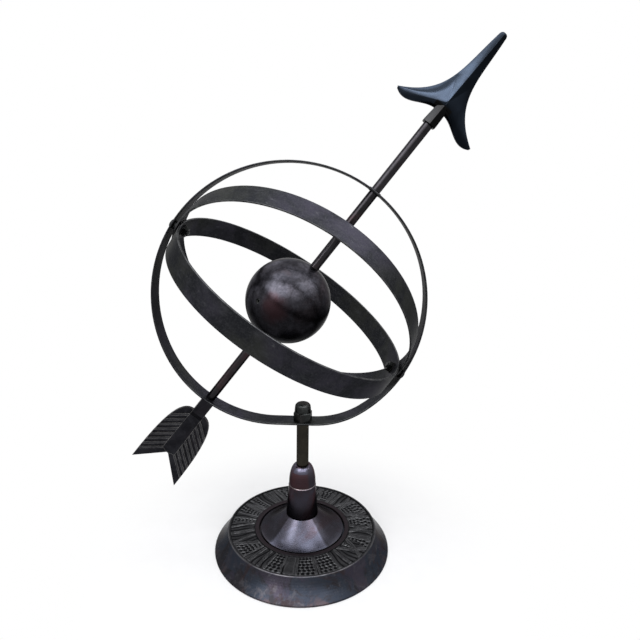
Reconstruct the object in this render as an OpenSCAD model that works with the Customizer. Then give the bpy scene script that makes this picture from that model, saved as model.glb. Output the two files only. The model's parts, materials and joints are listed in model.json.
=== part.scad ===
// Armillary sundial for a table: a weighted round base, a turned stem, a hoop set in the
// meridian with two pivoting rings inside it, and an arrow that carries a globe at the centre.
// The frame: +Z up, the origin under the middle of the base, the hoop in the XZ plane and the
// arrow pointing up towards +X.

/* [Base] */
// Diameter of the base at the table
base_d = 161; // [130:1:200]
// Diameter of the rim at the top of the sloping skirt
rim_d = 136.4; // [112:0.2:180]
// Height of the rim above the table
base_h = 18; // [15:0.5:26]
// Thickness of the casting's walls
base_wall = 4; // [3:0.5:5]
// Height of the upright edge at the foot of the skirt
foot_edge_h = 1.2; // [1:0.2:4]
// How far the skirt curves in between its foot and its rim
skirt_sag = 0.8; // [0:0.1:2]
// Width of the raised lip round the rim
lip_w = 1.3; // [0.8:0.1:3]
// Depth of the numbered band below the lip
band_depth = 1; // [0.5:0.1:2]
// Inner diameter of the numbered band
band_in_d = 87; // [82:0.5:100]
// Depth of the well that the dome stands in, below the rim
well_depth = 3; // [1:0.5:4]
// Gap between the dome's edge and the wall of the well
well_gap = 1.6; // [0.5:0.1:3]

/* [Stem] */
// Diameter of the dome's edge
dome_d = 76.4; // [60:0.2:78]
// Height of the dome above the floor of the well
dome_h = 17; // [12:0.5:26]
// Height of the dome's upright edge
dome_edge_h = 2.2; // [1:0.1:4]
// Thickness of the dome's shell
dome_wall = 3; // [2:0.5:4]
// Diameter of the lower collar at its foot
collar_foot_d = 29.4; // [24:0.2:36]
// Diameter of the lower collar at the seam
collar_top_d = 25.2; // [20:0.2:30]
// Height of the lower collar
collar_h = 28.5; // [18:0.5:45]
// Diameter of the upper collar at the seam
cap_collar_d = 24.6; // [18:0.2:29]
// Height of the upper collar
cap_collar_h = 19; // [12:0.5:30]
// Diameter of the post
post_d = 11.1; // [10.6:0.1:14]
// Bare length of the post between the upper collar and the hoop
post_show = 41.1; // [25:0.1:90]
// Diameter of the threaded ends of the post
stud_d = 9.5; // [6:0.1:9.8]
// Width across the flats of the nuts on the post
stud_nut_flats = 15.3; // [13:0.1:19]
// Height of the cap nut
cap_nut_h = 16; // [14:0.1:22]
// How far the cap nut is turned on its thread
cap_nut_turn = 22; // [0:1:59]
// Height of the nut under the base
base_nut_h = 6.5; // [4:0.1:6.5]
// Thickness of the washer under the base
base_washer_t = 1.6; // [1:0.1:2]
// Diameter of the washer under the base
base_washer_d = 24; // [22:0.5:26]

/* [Hoop and rings] */
// Outer radius of the hoop
hoop_r = 119; // [100:1:150]
// Width of the hoop's strap
hoop_w = 18; // [13:0.5:20]
// Thickness of the hoop's strap
hoop_t = 1.6; // [1.4:0.1:3]
// How far the flattened foot of the hoop stands in from its circle
hoop_foot_rise = 6.9; // [4:0.1:10]
// Length of the flat foot on the arrow's tail side of the hoop's middle
hoop_foot_tail = 11; // [8:0.5:24]
// How far the hoop's centre stands to the arrow's tail side of the post
hoop_offset = 13.2; // [0:0.2:16]
// Gap between the hoop and the ecliptic ring, filled by a spacer at each pivot
hoop_gap = 3.6; // [2:0.1:6]
// Width of the ecliptic ring
ecliptic_w = 18.4; // [10:0.1:22]
// Thickness of the ecliptic ring
ecliptic_t = 1.7; // [1.2:0.1:3]
// Tilt of the ecliptic ring about the pivot line
ecliptic_tilt = 45; // [-60:1:60]
// Gap between the two rings, filled by a washer at each pivot
ring_gap = 1; // [0.8:0.1:3]
// Width of the equatorial ring
equatorial_w = 19.4; // [10:0.1:22]
// Thickness of the equatorial ring
equatorial_t = 1.9; // [1.2:0.1:3]
// Tilt of the equatorial ring about the pivot line
equatorial_tilt = -7; // [-60:1:60]
// Slope of the pivot line, down towards +X
pivot_slope = 33; // [20:1:50]
// Rounding of the straps' long edges
strap_edge_r = 0.5; // [0.2:0.1:0.7]

/* [Pivots] */
// Diameter of the pivot screws
pivot_d = 4.8; // [3:0.1:5]
// Diameter of the pivot screws' heads
pivot_head_d = 8.4; // [7.5:0.1:10]
// Height of the pivot screws' heads
pivot_head_h = 2.6; // [1.6:0.1:4]
// Width across the flats of the pivot nuts
pivot_nut_flats = 8.2; // [7.4:0.1:10]
// Height of the pivot nuts
pivot_nut_h = 3.6; // [2:0.1:5]
// Thickness of the washer under each pivot nut
nut_washer_t = 0.8; // [0.5:0.1:1.5]

/* [Arrow] */
// Angle of the arrow above the table
arrow_rise = 52.4; // [35:0.2:62]
// Diameter of the arrow's rod
rod_d = 8.2; // [6:0.1:9]
// Diameter of the boss round the rod's hole at the top of the hoop
rod_boss_d = 11.6; // [9.4:0.1:13]
// How far the boss stands proud of the strap on each side
rod_boss_h = 0.6; // [0.3:0.1:1]
// Diameter of the thread at the rod's lower end
rod_stud_d = 6; // [4:0.1:6]
// Distance from the globe's centre to the mouth of the arrowhead's socket
head_place = 187; // [160:1:230]
// Length of the arrowhead, from its socket to its tip
head_len = 91.3; // [70:0.5:115]
// Span of the arrowhead across its two barbs
barb_span = 79; // [56:1:96]
// Thickness of the arrowhead at its middle
head_thick = 14; // [12:0.5:18]
// Width of the arrowhead's six-sided socket across its flats
head_socket_w = 12; // [11:0.2:15]
// Lean of the arrowhead off the rod's line, as the hand-fitted casting has
head_lean = 1.6; // [0:0.2:3]
// Length of the fletching, from its socket to its tips
fletch_len = 88.8; // [70:0.2:110]
// Width of the fletching
fletch_w = 48.4; // [36:0.2:60]
// Thickness of the fletching's plate
fletch_t = 2.6; // [2:0.1:4]
// Width of the fletching's socket and spine
fletch_spine_w = 11.8; // [9:0.1:13]
// Ribs on each side of the fletching
fletch_ribs = 8; // [6:1:10]
// Diameter of the globe
globe_d = 74.6; // [50:0.2:90]
// Distance of the globe's centre up the arrow from the hoop's
globe_place = -0.7; // [-6:0.1:6]
// Diameter of the grub screw in the globe
grub_d = 4; // [3:0.1:6]

/* [Hidden] */
$fn = 96;

// Clearances
running_clear = 0.05;
seat_clear = 0.04;
hole_clear = 0.1;

// Colours
bronze_black = [0.13, 0.12, 0.13];
brown_black = [0.18, 0.13, 0.13];
steel_black = [0.16, 0.16, 0.17];
violet_black = [0.22, 0.21, 0.24];
nut_black = [0.10, 0.11, 0.11];

// Heights up the stem
well_floor_z = base_h - well_depth;
boss_z = base_nut_h + base_washer_t + 1.4;
collar_z = well_floor_z + dome_h;
seam_z = collar_z + collar_h;
post_bare_z = seam_z + cap_collar_h;
seat_z = post_bare_z + post_show;
stud_end_z = seat_z + hoop_t + cap_nut_h - 4.4;
foot_clear_z = 0.6;

// The hoop's centre, and its flat foot with the round bends at both ends of it
hoop_foot_r = hoop_r - hoop_foot_rise;
sphere_z = seat_z + hoop_foot_r;
stud_nut_r = stud_nut_flats / sqrt(3);
hoop_foot_head = hoop_offset + stud_nut_r + 1.2;
function bend_r(foot) = (pow(hoop_r, 2) - pow(foot, 2) - pow(hoop_foot_r, 2)) / (2 * hoop_foot_rise);
function bend_a(foot) = atan2(foot, hoop_foot_r - bend_r(foot));

// The hoop's outer face on the arrow's line at its lower end, where the bend beside the foot can
// reach: how far out it stands, and how far it leans from square to that line
tail_centre = [hoop_foot_tail, hoop_foot_r - bend_r(hoop_foot_tail)];
tail_along = tail_centre * [cos(arrow_rise), sin(arrow_rise)];
tail_aside = sqrt(tail_centre * tail_centre - pow(tail_along, 2));
tail_bent = 90 - arrow_rise < bend_a(hoop_foot_tail);
tail_r = tail_bent ? tail_along + sqrt(pow(bend_r(hoop_foot_tail), 2) - pow(tail_aside, 2)) : hoop_r;
tail_lean = tail_bent ? asin(tail_aside / bend_r(hoop_foot_tail)) : 0;

// Radii of the nested rings
hoop_in_r = hoop_r - hoop_t;
ecliptic_r = hoop_in_r - hoop_gap;
ecliptic_in_r = ecliptic_r - ecliptic_t;
equatorial_r = ecliptic_in_r - ring_gap;
equatorial_in_r = equatorial_r - equatorial_t;

// Distances along the pivot line of the faces in each stack, allowing for the rings' curve
function sag(r, half_w) = r - sqrt(pow(r, 2) - pow(half_w, 2));
spacer_r = 4;
washer_r = 4.8;
nut_washer_r = 5;
pivot_head_in = hoop_r + seat_clear;
spacer_out = hoop_in_r - sag(hoop_in_r, spacer_r) - seat_clear;
spacer_in = ecliptic_r + running_clear;
washer_out = ecliptic_in_r - sag(ecliptic_in_r, washer_r) - running_clear;
washer_in = equatorial_r + running_clear;
nut_washer_out = equatorial_in_r - sag(equatorial_in_r, nut_washer_r) - running_clear;
pivot_nut_out = nut_washer_out - nut_washer_t;
pivot_end = pivot_nut_out - pivot_nut_h - 1.4;

// Distances along the arrow from the globe's centre
fletch_mouth = tail_r + fletch_spine_w / 2 * tan(tail_lean) + seat_clear;
rod_shoulder = tail_r - hoop_t - sag(tail_r, rod_d / 2) - rod_d / 2 * tan(tail_lean) - seat_clear;
rod_stud_len = fletch_mouth + 14 - rod_shoulder;
head_bore = 11;

// Frames of the assembly
module at_sphere() translate([-hoop_offset, 0, sphere_z]) children();
module along_arrow() at_sphere() rotate([0, 90 - arrow_rise, 0]) children();
module along_pivot() at_sphere() rotate([0, pivot_slope, 0]) children();
module ring_frame(tilt) along_pivot() rotate([-tilt, 0, 0]) children();
// Stands its child at both ends of the pivot line, with +Z pointing outwards
module both_pivots() along_pivot() for (side = [90, -90]) rotate([0, side, 0]) children();

// Shapes that repeat
function bezier(p, t) = pow(1 - t, 3) * p[0] + 3 * pow(1 - t, 2) * t * p[1]
    + 3 * (1 - t) * pow(t, 2) * p[2] + pow(t, 3) * p[3];

// A tube or a disc from one height to another, with a hole if d_in is above 0
module tube(d_out, d_in, z0, z1) difference() {
    translate([0, 0, z0]) cylinder(d = d_out, h = z1 - z0);
    if (d_in > 0) translate([0, 0, z0 - 1]) cylinder(d = d_in, h = z1 - z0 + 2);
}

// A six-sided nut with its corners turned off at both ends and a plain bore
module hex_nut(flats, h, bore) difference() {
    corner = flats / sqrt(3);
    intersection() {
        cylinder(r = corner, h = h, $fn = 6);
        rotate_extrude() polygon([[0, 0], [flats / 2, 0], [corner, (corner - flats / 2) * 0.6],
            [corner, h - (corner - flats / 2) * 0.6], [flats / 2, h], [0, h]]);
    }
    translate([0, 0, -1]) cylinder(d = bore, h = h + 2);
}

// The section of a strap: its thickness along X and its width along Y, with round corners
module strap_section(t, w) {
    r = strap_edge_r;
    corners = [[1, 1, 0], [-1, 1, 90], [-1, -1, 180], [1, -1, 270]];
    polygon([for (c = corners) for (a = [0:30:90])
        [c.x * (t / 2 - r) + r * cos(c.z + a), c.y * (w / 2 - r) + r * sin(c.z + a)]]);
}

// A closed round ring of strap about Z, bored for the pivots along X
module pivoted_ring(r_out, t, w) difference() {
    rotate_extrude() translate([r_out - t / 2, 0]) strap_section(t, w);
    translate([-r_out - 1, 0, 0]) rotate([0, 90, 0])
        cylinder(d = pivot_d + 2 * running_clear, h = 2 * r_out + 2);
}

// The round casting: a sloping skirt, a lip, a sunk band for the numbers, a well for the dome
module base_casting() color(bronze_black) {
    inner_foot_r = base_d / 2 - base_wall - 0.6;
    ceiling_z = base_h - band_depth - base_wall;
    well_ceiling_z = well_floor_z - base_wall;
    well_r = dome_d / 2 + well_gap;
    boss_r = base_washer_d / 2 + 3;
    lip_r = rim_d / 2;
    skirt_steps = 10;
    skirt_foot = [base_d / 2 - 0.4, foot_edge_h + 0.2];
    skirt_top = [lip_r + 0.4, base_h - 0.4];
    rotate_extrude() polygon([
        [stud_d / 2 + 0.2, boss_z], [boss_r, boss_z], [boss_r + 1, well_ceiling_z],
        [well_r + base_wall - 1, well_ceiling_z], [well_r + base_wall + 1, ceiling_z],
        [lip_r - base_wall, ceiling_z], [inner_foot_r, foot_edge_h], [inner_foot_r, 0],
        [base_d / 2 - 0.4, 0], [base_d / 2, 0.4], [base_d / 2, foot_edge_h - 0.4],
        for (i = [0:skirt_steps]) skirt_foot + (skirt_top - skirt_foot) * i / skirt_steps
            - [skirt_sag * sin(180 * i / skirt_steps), 0],
        [lip_r, base_h],
        [lip_r - lip_w, base_h], [lip_r - lip_w - 0.3, base_h - band_depth],
        [band_in_d / 2 + 0.3, base_h - band_depth], [band_in_d / 2, base_h - 0.2],
        [well_r + 0.4, base_h - 0.2], [well_r, base_h - 0.6], [well_r, well_floor_z],
        [stud_d / 2 + 0.2, well_floor_z]]);
}

// The bell-curved dome in the well: a shell with a thick hub that takes the pull of the stud
module centre_dome() {
    edge_r = dome_d / 2;
    top_r = collar_foot_d / 2 + 0.6;
    hub_r = top_r - 4;
    rise = dome_h - dome_edge_h;
    function outer(u) = [edge_r - (edge_r - top_r) * u,
        dome_edge_h + rise * (0.75 * pow(u, 1.7) + 0.25 * sin(90 * u))];
    steps = 16;
    hollow = 0.75;
    function inner(u) = [outer(u).x - dome_wall * 0.4, max(0.3, outer(u).y - dome_wall)];
    color(violet_black) translate([0, 0, well_floor_z]) rotate_extrude() polygon([
        [stud_d / 2 + 0.2, 0], [hub_r, 0], [hub_r, outer(hollow).y - dome_wall],
        for (i = [steps:-1:steps / 4]) inner(hollow * i / steps),
        [edge_r - dome_wall * 1.6, 0], [edge_r, 0],
        for (i = [0:steps]) outer(i / steps), [stud_d / 2 + 0.2, dome_h]]);
}

// The lower collar: turned, flaring gently to its foot
module lower_collar() {
    steps = 10;
    foot_r = collar_foot_d / 2;
    top_r = collar_top_d / 2;
    function flare(u) = top_r + (foot_r - top_r) * (0.7 * u + 0.3 * u * u);
    color(brown_black) translate([0, 0, collar_z]) rotate_extrude() polygon([
        [stud_d / 2 + 0.1, 0], [foot_r - 0.5, 0], [foot_r, 0.6],
        for (i = [0:steps]) [flare(1 - i / steps), 0.9 + (collar_h - 1.5) * i / steps],
        [top_r - 0.5, collar_h], [stud_d / 2 + 0.1, collar_h]]);
}

// The upper collar: a domed ferrule that slides over the post and rests on the lower one
module upper_collar() color(brown_black) {
    steps = 14;
    seam_r = cap_collar_d / 2;
    bore_r = post_d / 2 + hole_clear;
    mouth_r = bore_r + 0.5;
    translate([0, 0, seam_z]) rotate_extrude() polygon([
        [bore_r, 0], [seam_r - 0.5, 0], [seam_r, 0.5],
        for (i = [1:steps]) let (a = 90 * i / steps)
            [mouth_r + (seam_r - mouth_r) * cos(a), 0.5 + (cap_collar_h - 0.5) * sin(a)],
        [bore_r, cap_collar_h]]);
}

// The post: a bright-drawn rod with a threaded stud turned on both ends
module post() color(bronze_black) union() {
    stud_end = [stud_d / 2 - 0.8, 0.8];
    rotate_extrude() polygon([
        [0, foot_clear_z], [stud_end.x, foot_clear_z], [stud_d / 2, foot_clear_z + stud_end.y],
        [stud_d / 2, seam_z], [post_d / 2, seam_z], [post_d / 2, seat_z],
        [stud_d / 2, seat_z], [stud_d / 2, stud_end_z - stud_end.y],
        [stud_end.x, stud_end_z], [0, stud_end_z]]);
}

module base_washer() color(nut_black)
    tube(base_washer_d, stud_d + 2 * hole_clear, boss_z - base_washer_t, boss_z);

module base_nut() color(nut_black) translate([0, 0, boss_z - base_washer_t - base_nut_h])
    hex_nut(stud_nut_flats, base_nut_h, stud_d + 2 * running_clear);

// The cap nut: a six-sided bar turned down to a crown, which cuts its corners off in scallops
module cap_nut() color(nut_black) translate([0, 0, seat_z + hoop_t]) rotate(cap_nut_turn)
    difference() {
    flat_r = stud_nut_flats / 2;
    crown_h = cap_nut_h / 2;
    brow_h = cap_nut_h - 1;
    intersection() {
        cylinder(r = stud_nut_r, h = cap_nut_h, $fn = 6);
        rotate_extrude() polygon([[0, 0], [flat_r, 0], [stud_nut_r, 0.8], [stud_nut_r, crown_h],
            [flat_r * 1.09, crown_h + 1], [flat_r * 1.01, crown_h + 3], [flat_r * 0.95, brow_h - 2],
            [flat_r * 0.88, brow_h], [flat_r * 0.68, cap_nut_h], [0, cap_nut_h]]);
    }
    translate([0, 0, -1]) cylinder(d = stud_d + 2 * running_clear, h = cap_nut_h - 3 + 1);
}

// The hoop: one strap rolled round and pressed flat at the foot. The two bends beside the flat
// are a hair thinner than the strap, and run a little way into it at both ends.
module hoop_strap() rotate([90, 0, 0]) union() {
    mid = hoop_t / 2;
    thin = 0.06;
    lap = 0.5;
    feet = [hoop_foot_head, hoop_foot_tail];
    rotate([0, 0, bend_a(feet[0]) - 90])
        rotate_extrude(angle = 360 - bend_a(feet[0]) - bend_a(feet[1]))
            translate([hoop_r - mid, 0]) strap_section(hoop_t, hoop_w);
    for (side = [0, 1]) mirror([side, 0, 0]) let (foot = feet[side])
        translate([foot, bend_r(foot) - hoop_foot_r, 0])
            rotate([0, 0, -90 - lap]) rotate_extrude(angle = bend_a(foot) + 2 * lap)
                translate([bend_r(foot) - mid, 0]) strap_section(hoop_t - thin, hoop_w - thin);
    translate([-feet[1], mid - hoop_foot_r, 0]) rotate([90, 0, 90])
        linear_extrude(height = feet[0] + feet[1]) strap_section(hoop_t, hoop_w);
}

module meridian_hoop() color(steel_black) difference() {
    union() {
        at_sphere() hoop_strap();
        along_arrow() tube(rod_boss_d, 0, hoop_in_r - rod_boss_h, hoop_r + rod_boss_h);
    }
    translate([0, 0, seat_z - 1]) cylinder(d = stud_d + 2 * running_clear, h = hoop_t + 2);
    along_arrow() translate([0, 0, hoop_in_r - 5]) cylinder(d = rod_d + 2 * hole_clear, h = 10);
    along_arrow() translate([0, 0, -hoop_r - 5])
        cylinder(d = rod_stud_d + 2 * hole_clear, h = 10);
    both_pivots() translate([0, 0, hoop_in_r - 5])
        cylinder(d = pivot_d + 2 * hole_clear, h = 10);
}

module ecliptic_ring() color(steel_black)
    ring_frame(ecliptic_tilt) pivoted_ring(ecliptic_r, ecliptic_t, ecliptic_w);

module equatorial_ring() color(steel_black)
    ring_frame(equatorial_tilt) pivoted_ring(equatorial_r, equatorial_t, equatorial_w);

// The two pivot screws: a domed head with a hexagon socket, and a plain shank
module pivot_screws() color(nut_black) both_pivots() difference() {
    steps = 8;
    head_r = pivot_head_d / 2;
    head_top = pivot_head_in + pivot_head_h;
    rotate_extrude() polygon([
        [0, pivot_end], [pivot_d / 2 - 0.4, pivot_end], [pivot_d / 2, pivot_end + 0.4],
        [pivot_d / 2, pivot_head_in], [head_r, pivot_head_in],
        for (i = [0:steps]) let (a = 75 * i / steps)
            [head_r * (0.3 + 0.7 * cos(a)),
            pivot_head_in + pivot_head_h * (0.2 + 0.8 * sin(a) / sin(75))],
        [0, head_top]]);
    translate([0, 0, head_top - pivot_head_h * 0.55])
        cylinder(r = pivot_head_d * 0.18, h = pivot_head_h, $fn = 6);
}

module pivot_spacers() color(nut_black) both_pivots()
    tube(2 * spacer_r, pivot_d + 2 * hole_clear, spacer_in, spacer_out);

module ring_washers() color(nut_black) both_pivots()
    tube(2 * washer_r, pivot_d + 2 * hole_clear, washer_in, washer_out);

module nut_washers() color(nut_black) both_pivots()
    tube(2 * nut_washer_r, pivot_d + 2 * hole_clear, pivot_nut_out, nut_washer_out);

module pivot_nuts() color(nut_black) both_pivots() translate([0, 0, pivot_nut_out - pivot_nut_h])
    hex_nut(pivot_nut_flats, pivot_nut_h, pivot_d + 2 * running_clear);

// The rod: the hoop is clamped between its shoulder and the socket of the fletching
module arrow_rod() color(bronze_black) along_arrow() rotate_extrude() polygon([
    [0, -rod_shoulder - rod_stud_len], [rod_stud_d / 2 - 0.5, -rod_shoulder - rod_stud_len],
    [rod_stud_d / 2, 0.5 - rod_shoulder - rod_stud_len], [rod_stud_d / 2, -rod_shoulder],
    [rod_d / 2, -rod_shoulder], [rod_d / 2, head_place + head_bore - 1],
    [0, head_place + head_bore - 1]]);

// One half of the arrowhead as a loft. Stations run from the tip down the ridge and out along
// the barb. Each goes from the outer edge over the crest to the inner edge, and back below.
// Down the ridge the inner edge is a wall that laps a little into the other half.
function head_point(across, along) = [across * barb_span / 2, along * head_len];
tip_r = 0.038 * head_len;
outer_edge = [[tip_r, head_len - tip_r], head_point(0.215, 0.56), head_point(0.085, 0.296),
    head_point(1, 0.083)];
barb_crest = [head_point(0, 0.241), head_point(0.234, 0.193), head_point(0.571, 0.137),
    head_point(0.99, 0.08)];
inner_edge = [head_point(-0.02, 0.14), head_point(0.36, 0.19), head_point(0.62, -0.03),
    head_point(0.982, 0.066)];
tip_steps = 5;
ridge_steps = 10;
barb_steps = 13;
outer_steps = 5;
inner_steps = 3;
head_edge_t = 0.9;

module half_head() {
    crest_top = head_thick / 2;
    ridge_end = tip_steps + ridge_steps;
    last = ridge_end + barb_steps;
    function tip_a(i) = 16 + 74 * i / tip_steps;
    function ridge_u(i) = (i - tip_steps) / ridge_steps;
    function barb_u(i) = (i - ridge_end) / barb_steps;
    function outer_at(i) = i < tip_steps
        ? [tip_r * sin(tip_a(i)), head_len - tip_r + tip_r * cos(tip_a(i))]
        : bezier(outer_edge, (i - tip_steps) / (last - tip_steps));
    function crest_at(i) = i < tip_steps ? [0, outer_at(i).y]
        : i < ridge_end ? [0, (head_len - tip_r) * (1 - ridge_u(i)) + barb_crest[0].y * ridge_u(i)]
        : bezier(barb_crest, barb_u(i));
    function inner_at(i) = i < ridge_end ? crest_at(i) - [outer_at(i).x * 0.3, 0]
        : bezier(inner_edge, barb_u(i));
    function crest_h(i) = crest_top * (i < tip_steps ? 0.44 * sin(tip_a(i))
        : i < ridge_end ? 0.44 + 0.48 * sin(90 * ridge_u(i)) : 0.92 - 0.79 * pow(barb_u(i), 1.1));
    function edge_h(i) = min(head_edge_t, 0.6 * crest_h(i));
    // How round the crest is: sharp down the ridge, rolling over along the barb
    function roll(i) = max(0, min(1, 3 * barb_u(i)));
    function rise(t, r) = (1 - r) * pow(t, 0.85) + r * sin(90 * t);
    function lift(p, z) = [p.x, z, p.y];
    function top(i) = let (a = outer_at(i), b = crest_at(i), c = inner_at(i), e = edge_h(i),
        h = crest_h(i), f = i < ridge_end ? 0.4 * h : e)
        [for (j = [0:outer_steps]) let (t = j / outer_steps)
            lift(a + (b - a) * t, e + (h - e) * rise(t, roll(i))),
        for (j = [1:inner_steps]) let (t = j / inner_steps)
            lift(b + (c - b) * t, f + (h - f) * rise(1 - t, 1))];
    half = outer_steps + inner_steps + 1;
    n = 2 * half;
    points = [for (i = [0:last]) let (t = top(i))
        each concat(t, [for (j = [half - 1:-1:0]) [t[j].x, -t[j].y, t[j].z]])];
    sides = [for (i = [0:last - 1]) for (j = [0:n - 1]) let (a = i * n + j,
        b = i * n + (j + 1) % n) each [[a, b, b + n], [a, b + n, a + n]]];
    caps = [for (j = [1:n - 2]) each [[0, j + 1, j], [last * n, last * n + j, last * n + j + 1]]];
    polyhedron(points = points, faces = concat(sides, caps), convexity = 6);
}

// The arrowhead: two swept barbs with a rolling crest, on a six-sided tapered socket
module arrow_head() color(bronze_black) along_arrow() translate([0, 0, head_place])
    rotate([0, head_lean, 0]) difference() {
    socket_r = head_socket_w / sqrt(3);
    crown = head_len * 0.2;
    union() {
        half_head();
        mirror([1, 0, 0]) half_head();
        rotate([0, 0, 90]) hull() {
            cylinder(r = socket_r, h = 3, $fn = 6);
            translate([0, 0, crown - 1]) cylinder(r = head_thick * 0.42, h = 1, $fn = 6);
        }
    }
    translate([0, 0, -1]) rotate([0, -head_lean, 0])
        cylinder(d = rod_d + 2 * hole_clear, h = head_bore + 1);
}

// The outline of the fletching from its mouth down, swept out to two tips with a notch between
fletch_half = fletch_w / 2;
spine_half = fletch_spine_w / 2;
fletch_shoulder = 0.18 * fletch_len;
fletch_notch = 0.732 * fletch_len;
fletch_edge = [[spine_half, fletch_shoulder], [0.76 * fletch_half, 0.19 * fletch_len],
    [fletch_half, 0.388 * fletch_len], [fletch_half, fletch_len]];

module fletch_outline(inset = 0) {
    steps = 14;
    side = [for (i = [0:steps]) bezier(fletch_edge, i / steps) - [inset, 0]];
    right = [for (p = side) [p.x, -p.y + inset]];
    left = [for (i = [steps:-1:0]) [-right[i].x, right[i].y]];
    polygon(concat([[0, -fletch_shoulder + 1]], right, [[0, -fletch_notch + inset]], left));
}

// The ribs of one side, laid at an angle off the spine
module fletch_rib_lines() {
    rib_w = 2;
    slant = 50;
    first = 0.24 * fletch_len;
    pitch = (fletch_notch - first - 3) / (fletch_ribs - 1);
    for (i = [0:fletch_ribs - 1]) translate([spine_half - 1, -first - i * pitch])
        rotate(slant - 90) translate([0, -rib_w / 2]) square([fletch_len / 2, rib_w]);
}

module arrow_fletching() color(bronze_black) along_arrow() translate([0, 0, -fletch_mouth])
    difference() {
    rib_h = 0.9;
    socket_t = fletch_spine_w * 0.94;
    socket_len = fletch_shoulder + 5;
    spine_t = fletch_t + 2.8;
    rotate([90, 0, 0]) union() {
        linear_extrude(height = fletch_t, center = true) fletch_outline();
        linear_extrude(height = fletch_t + 2 * rib_h, center = true) intersection() {
            fletch_outline(0.7);
            union() {
                fletch_rib_lines();
                mirror([1, 0]) fletch_rib_lines();
            }
        }
        linear_extrude(height = spine_t, center = true) polygon([
            [-spine_half, -socket_len + 1], [spine_half, -socket_len + 1],
            [spine_half + 0.8, -fletch_notch + 2], [0, -fletch_notch],
            [-spine_half - 0.8, -fletch_notch + 2]]);
        // The socket, with its top and bottom faces sloping down to the spine at the tail end
        rotate([0, 90, 0]) linear_extrude(height = fletch_spine_w, center = true) polygon([
            [-socket_t / 2, 0], [socket_t / 2, 0], [socket_t / 2, -fletch_shoulder],
            [spine_t / 2, -socket_len], [-spine_t / 2, -socket_len],
            [-socket_t / 2, -fletch_shoulder]]);
    }
    translate([0, 0, -rod_stud_len - 1])
        cylinder(d = rod_stud_d + 2 * running_clear, h = rod_stud_len + 2);
}

// The globe, bored for the rod and tapped for its grub screw from the side that faces out
grub_turn = 55;
grub_place = -9.4;
grub_reach = sqrt(pow(globe_d / 2, 2) - pow(grub_place, 2));
module across_globe() along_arrow() translate([0, 0, globe_place + grub_place])
    rotate([0, 0, 180 + grub_turn]) rotate([0, 90, 0]) children();

module globe() color(violet_black) difference() {
    along_arrow() translate([0, 0, globe_place]) sphere(d = globe_d);
    along_arrow() cylinder(d = rod_d + 2 * running_clear, h = globe_d + 8, center = true);
    across_globe() cylinder(d = grub_d + 2 * running_clear, h = globe_d);
}

module globe_grub_screw() color(nut_black) across_globe() difference() {
    start = rod_d / 2 + seat_clear;
    finish = grub_reach - 0.8;
    translate([0, 0, start]) cylinder(d = grub_d, h = finish - start);
    translate([0, 0, finish - 2]) cylinder(r = grub_d * 0.28, h = 3, $fn = 6);
}

base_casting();
centre_dome();
lower_collar();
upper_collar();
post();
base_washer();
base_nut();
cap_nut();
meridian_hoop();
ecliptic_ring();
equatorial_ring();
pivot_screws();
pivot_spacers();
ring_washers();
nut_washers();
pivot_nuts();
arrow_rod();
arrow_head();
arrow_fletching();
globe();
globe_grub_screw();
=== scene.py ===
"""The looks of the armillary sundial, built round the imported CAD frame."""
import json
import math

import bmesh
import bpy
import numpy as np
from mathutils import Matrix, Vector


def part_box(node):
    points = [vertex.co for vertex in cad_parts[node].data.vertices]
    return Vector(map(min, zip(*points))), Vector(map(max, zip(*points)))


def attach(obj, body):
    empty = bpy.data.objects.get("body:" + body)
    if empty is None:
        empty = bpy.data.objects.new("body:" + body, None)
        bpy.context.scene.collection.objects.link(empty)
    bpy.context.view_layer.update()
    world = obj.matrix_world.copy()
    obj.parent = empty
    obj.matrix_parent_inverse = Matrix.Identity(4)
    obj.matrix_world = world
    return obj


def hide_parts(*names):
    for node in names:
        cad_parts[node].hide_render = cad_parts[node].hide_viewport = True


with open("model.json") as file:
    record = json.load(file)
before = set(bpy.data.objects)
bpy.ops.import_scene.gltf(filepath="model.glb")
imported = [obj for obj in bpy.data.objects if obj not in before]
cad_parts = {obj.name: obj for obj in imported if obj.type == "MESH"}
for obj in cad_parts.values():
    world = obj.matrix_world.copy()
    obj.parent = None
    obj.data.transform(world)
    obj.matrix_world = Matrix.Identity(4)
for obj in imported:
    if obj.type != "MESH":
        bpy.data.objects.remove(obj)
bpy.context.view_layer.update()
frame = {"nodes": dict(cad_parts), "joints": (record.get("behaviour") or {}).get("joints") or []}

# Sizes are named in millimetres and degrees, and MM turns them into Blender's metres
MM = 0.001

# Heights that the frame gives: the rim, the well's floor, the seam between the collars and the cap nut's foot
RIM_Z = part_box("base_casting")[1][2] / MM
WELL_FLOOR_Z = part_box("centre_dome")[0][2] / MM
SEAM_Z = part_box("upper_collar")[0][2] / MM
CAP_NUT_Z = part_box("cap_nut")[0][2] / MM
# The radius of the base's rim and of the band's inner wall, as in the CAD
RIM_R, BAND_INNER_R = 68.2, 43.5

# The rings tilt about the pivot line, which runs through the sphere's centre
PIVOT = next(joint for joint in frame["joints"] if joint["name"] == "equatorial_tilt")
SPHERE = Vector(PIVOT["pos_m"])
PIVOT_LINE = Vector(PIVOT["axis"])
# The rings' tilts at rest, the straps' widths, and a radius that is near enough for all three, as in the CAD
ECLIPTIC_TILT, EQUATORIAL_TILT = 45, -7
HOOP_W, ECLIPTIC_W, EQUATORIAL_W = 18, 18.4, 19.4
STRAP_R = 110

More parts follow.
